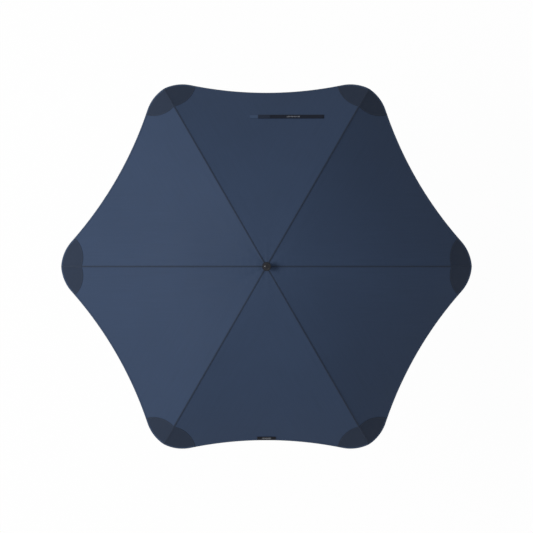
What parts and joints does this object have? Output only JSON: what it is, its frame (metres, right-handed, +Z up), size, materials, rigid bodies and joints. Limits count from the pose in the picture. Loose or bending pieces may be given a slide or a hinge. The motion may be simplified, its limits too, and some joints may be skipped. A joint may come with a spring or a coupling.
{
  "type": "folding umbrella",
  "caption": "Compact folding umbrella, open: ribbed cloth canopy on a sliding shaft with a straight handle",
  "frame": {"origin": "centre of the handle's lower end, on the shaft's axis", "axes": "+Z up the shaft towards the ferrule, +X over the first rib, -Y towards the button"},
  "size_m": [0.96, 0.8542, 0.5839],
  "materials": {
    "canopy_fabric": "matt woven cloth",
    "strap_fabric": "woven tape",
    "label_fabric": "woven label",
    "inner_steel": "black coated",
    "middle_rib": "dark grey coated",
    "outer_rod": "pultruded glass fibre, dark",
    "spreader_plastic": "moulded",
    "soft_grip": "soft touch",
    "core_plastic": "moulded",
    "cap_plastic": "moulded",
    "button_plastic": "satin",
    "bush_plastic": "natural",
    "ferrule_plastic": "glossy",
    "washer_plastic": "moulded",
    "tube_steel": "plated",
    "spring_steel": "drawn wire"
  },
  "bodies": {
    "handle": {"handle_grip": "soft_grip", "handle_core": "core_plastic", "handle_cap": "cap_plastic", "lower_tube": "tube_steel", "lower_tube_bush": "bush_plastic", "button_spring": "spring_steel"},
    "button": {"release_button": "button_plastic", "button_plate": "spring_steel"},
    "upper_shaft": {"upper_tube": "tube_steel", "tube_collar": "core_plastic", "crown": "core_plastic", "ferrule": "ferrule_plastic", "ferrule_washer": "washer_plastic", "opening_spring": "spring_steel"},
    "runner": {"runner": "core_plastic"},
    "inner_1": {"rib_inner_1": "inner_steel", "canopy_inner_1": "canopy_fabric"},
    "stretch_1": {"stretcher_1": "inner_steel"},
    "middle_1": {"rib_middle_1": "middle_rib"},
    "outer_1": {"rib_outer_1": "outer_rod", "canopy_outer_1": "canopy_fabric", "tip_spreader_1": "spreader_plastic"},
    "inner_2": {"rib_inner_2": "inner_steel", "canopy_inner_2": "canopy_fabric"},
    "stretch_2": {"stretcher_2": "inner_steel"},
    "middle_2": {"rib_middle_2": "middle_rib"},
    "outer_2": {"rib_outer_2": "outer_rod", "canopy_outer_2": "canopy_fabric", "tip_spreader_2": "spreader_plastic", "closure_strap": "strap_fabric"},
    "inner_3": {"rib_inner_3": "inner_steel", "canopy_inner_3": "canopy_fabric"},
    "stretch_3": {"stretcher_3": "inner_steel"},
    "middle_3": {"rib_middle_3": "middle_rib"},
    "outer_3": {"rib_outer_3": "outer_rod", "canopy_outer_3": "canopy_fabric", "tip_spreader_3": "spreader_plastic"},
    "inner_4": {"rib_inner_4": "inner_steel", "canopy_inner_4": "canopy_fabric"},
    "stretch_4": {"stretcher_4": "inner_steel"},
    "middle_4": {"rib_middle_4": "middle_rib"},
    "outer_4": {"rib_outer_4": "outer_rod", "canopy_outer_4": "canopy_fabric", "tip_spreader_4": "spreader_plastic"},
    "inner_5": {"rib_inner_5": "inner_steel", "canopy_inner_5": "canopy_fabric"},
    "stretch_5": {"stretcher_5": "inner_steel"},
    "middle_5": {"rib_middle_5": "middle_rib"},
    "outer_5": {"rib_outer_5": "outer_rod", "canopy_outer_5": "canopy_fabric", "tip_spreader_5": "spreader_plastic"},
    "inner_6": {"rib_inner_6": "inner_steel", "canopy_inner_6": "canopy_fabric"},
    "stretch_6": {"stretcher_6": "inner_steel"},
    "middle_6": {"rib_middle_6": "middle_rib"},
    "outer_6": {"rib_outer_6": "outer_rod", "canopy_outer_6": "canopy_fabric", "tip_spreader_6": "spreader_plastic", "hem_label": "label_fabric"}
  },
  "joints": [
    {"name": "shaft_telescope", "type": "slide", "parent": "handle", "child": "upper_shaft", "axis": [0, 0, -1], "range_m": [0, 0.2], "deforming": ["opening_spring"]},
    {"name": "button_press", "type": "slide", "parent": "handle", "child": "button", "axis": [0, 1, 0], "range_m": [0, 0.0025], "stiffness_N_per_m": 400, "springref_m": -0.002, "deforming": ["button_spring"]},
    {"name": "canopy_fold", "type": "hinge", "parent": "upper_shaft", "child": "inner_1", "pos_m": [0.013, 0, 0.556], "axis": [0, 1, 0], "range_deg": [0, 78], "deforming": ["canopy_inner_1", "canopy_outer_1", "canopy_inner_2", "canopy_outer_2", "canopy_inner_3", "canopy_outer_3", "canopy_inner_4", "canopy_outer_4", "canopy_inner_5", "canopy_outer_5", "canopy_inner_6", "canopy_outer_6", "tip_spreader_1", "tip_spreader_2", "tip_spreader_3", "tip_spreader_4", "tip_spreader_5", "tip_spreader_6", "closure_strap", "hem_label"]},
    {"name": "stretcher_hinge_1", "type": "hinge", "parent": "inner_1", "child": "stretch_1", "pos_m": [0.11634, 0, 0.53737], "axis": [0, 1, 0], "range_deg": [-156.5, 0]},
    {"name": "knee_1", "type": "hinge", "parent": "inner_1", "child": "middle_1", "pos_m": [0.16117, 0, 0.53251], "axis": [0, 1, 0], "range_deg": [-185.5, 0]},
    {"name": "elbow_1", "type": "hinge", "parent": "middle_1", "child": "outer_1", "pos_m": [0.28233, 0, 0.48508], "axis": [0, 1, 0], "range_deg": [0, 168.5]},
    {"name": "inner_hinge_2", "type": "hinge", "parent": "upper_shaft", "child": "inner_2", "pos_m": [0.0065, 0.01126, 0.556], "axis": [-0.866, 0.5, 0], "range_deg": [0, 78.5]},
    {"name": "stretcher_hinge_2", "type": "hinge", "parent": "inner_2", "child": "stretch_2", "pos_m": [0.05817, 0.10075, 0.53737], "axis": [-0.866, 0.5, 0], "range_deg": [-156.5, 0]},
    {"name": "knee_2", "type": "hinge", "parent": "inner_2", "child": "middle_2", "pos_m": [0.08059, 0.13958, 0.53251], "axis": [-0.866, 0.5, 0], "range_deg": [-185.5, 0]},
    {"name": "elbow_2", "type": "hinge", "parent": "middle_2", "child": "outer_2", "pos_m": [0.14117, 0.24451, 0.48508], "axis": [-0.866, 0.5, 0], "range_deg": [0, 168.5]},
    {"name": "inner_hinge_3", "type": "hinge", "parent": "upper_shaft", "child": "inner_3", "pos_m": [-0.0065, 0.01126, 0.556], "axis": [-0.866, -0.5, 0], "range_deg": [0, 78.5]},
    {"name": "stretcher_hinge_3", "type": "hinge", "parent": "inner_3", "child": "stretch_3", "pos_m": [-0.05817, 0.10075, 0.53737], "axis": [-0.866, -0.5, 0], "range_deg": [-156.5, 0]},
    {"name": "knee_3", "type": "hinge", "parent": "inner_3", "child": "middle_3", "pos_m": [-0.08059, 0.13958, 0.53251], "axis": [-0.866, -0.5, 0], "range_deg": [-185.5, 0]},
    {"name": "elbow_3", "type": "hinge", "parent": "middle_3", "child": "outer_3", "pos_m": [-0.14117, 0.24451, 0.48508], "axis": [-0.866, -0.5, 0], "range_deg": [0, 168.5]},
    {"name": "inner_hinge_4", "type": "hinge", "parent": "upper_shaft", "child": "inner_4", "pos_m": [-0.013, 0, 0.556], "axis": [0, -1, 0], "range_deg": [0, 78.5]},
    {"name": "stretcher_hinge_4", "type": "hinge", "parent": "inner_4", "child": "stretch_4", "pos_m": [-0.11634, 0, 0.53737], "axis": [0, -1, 0], "range_deg": [-156.5, 0]},
    {"name": "knee_4", "type": "hinge", "parent": "inner_4", "child": "middle_4", "pos_m": [-0.16117, 0, 0.53251], "axis": [0, -1, 0], "range_deg": [-185.5, 0]},
    {"name": "elbow_4", "type": "hinge", "parent": "middle_4", "child": "outer_4", "pos_m": [-0.28233, 0, 0.48508], "axis": [0, -1, 0], "range_deg": [0, 168.5]},
    {"name": "inner_hinge_5", "type": "hinge", "parent": "upper_shaft", "child": "inner_5", "pos_m": [-0.0065, -0.01126, 0.556], "axis": [0.866, -0.5, 0], "range_deg": [0, 78.5]},
    {"name": "stretcher_hinge_5", "type": "hinge", "parent": "inner_5", "child": "stretch_5", "pos_m": [-0.05817, -0.10075, 0.53737], "axis": [0.866, -0.5, 0], "range_deg": [-156.5, 0]},
    {"name": "knee_5", "type": "hinge", "parent": "inner_5", "child": "middle_5", "pos_m": [-0.08059, -0.13958, 0.53251], "axis": [0.866, -0.5, 0], "range_deg": [-185.5, 0]},
    {"name": "elbow_5", "type": "hinge", "parent": "middle_5", "child": "outer_5", "pos_m": [-0.14117, -0.24451, 0.48508], "axis": [0.866, -0.5, 0], "range_deg": [0, 168.5]},
    {"name": "inner_hinge_6", "type": "hinge", "parent": "upper_shaft", "child": "inner_6", "pos_m": [0.0065, -0.01126, 0.556], "axis": [0.866, 0.5, 0], "range_deg": [0, 78.5]},
    {"name": "stretcher_hinge_6", "type": "hinge", "parent": "inner_6", "child": "stretch_6", "pos_m": [0.05817, -0.10075, 0.53737], "axis": [0.866, 0.5, 0], "range_deg": [-156.5, 0]},
    {"name": "knee_6", "type": "hinge", "parent": "inner_6", "child": "middle_6", "pos_m": [0.08059, -0.13958, 0.53251], "axis": [0.866, 0.5, 0], "range_deg": [-185.5, 0]},
    {"name": "elbow_6", "type": "hinge", "parent": "middle_6", "child": "outer_6", "pos_m": [0.14117, -0.24451, 0.48508], "axis": [0.866, 0.5, 0], "range_deg": [0, 168.5]},
    {"name": "runner_hinge", "type": "hinge", "parent": "stretch_1", "child": "runner", "pos_m": [0.013, 0, 0.51875], "axis": [0, 1, 0], "range_deg": [0, 78.5]}
  ],
  "couplings": [
    {"joint": "stretcher_hinge_1", "follows": "canopy_fold", "ratio": -2},
    {"joint": "knee_1", "follows": "canopy_fold", "ratio": -2.3718},
    {"joint": "elbow_1", "follows": "canopy_fold", "ratio": 2.1538},
    {"joint": "inner_hinge_2", "follows": "canopy_fold", "ratio": 1},
    {"joint": "stretcher_hinge_2", "follows": "canopy_fold", "ratio": -2},
    {"joint": "knee_2", "follows": "canopy_fold", "ratio": -2.3718},
    {"joint": "elbow_2", "follows": "canopy_fold", "ratio": 2.1538},
    {"joint": "inner_hinge_3", "follows": "canopy_fold", "ratio": 1},
    {"joint": "stretcher_hinge_3", "follows": "canopy_fold", "ratio": -2},
    {"joint": "knee_3", "follows": "canopy_fold", "ratio": -2.3718},
    {"joint": "elbow_3", "follows": "canopy_fold", "ratio": 2.1538},
    {"joint": "inner_hinge_4", "follows": "canopy_fold", "ratio": 1},
    {"joint": "stretcher_hinge_4", "follows": "canopy_fold", "ratio": -2},
    {"joint": "knee_4", "follows": "canopy_fold", "ratio": -2.3718},
    {"joint": "elbow_4", "follows": "canopy_fold", "ratio": 2.1538},
    {"joint": "inner_hinge_5", "follows": "canopy_fold", "ratio": 1},
    {"joint": "stretcher_hinge_5", "follows": "canopy_fold", "ratio": -2},
    {"joint": "knee_5", "follows": "canopy_fold", "ratio": -2.3718},
    {"joint": "elbow_5", "follows": "canopy_fold", "ratio": 2.1538},
    {"joint": "inner_hinge_6", "follows": "canopy_fold", "ratio": 1},
    {"joint": "stretcher_hinge_6", "follows": "canopy_fold", "ratio": -2},
    {"joint": "knee_6", "follows": "canopy_fold", "ratio": -2.3718},
    {"joint": "elbow_6", "follows": "canopy_fold", "ratio": 2.1538},
    {"joint": "runner_hinge", "follows": "canopy_fold", "ratio": 1}
  ]
}
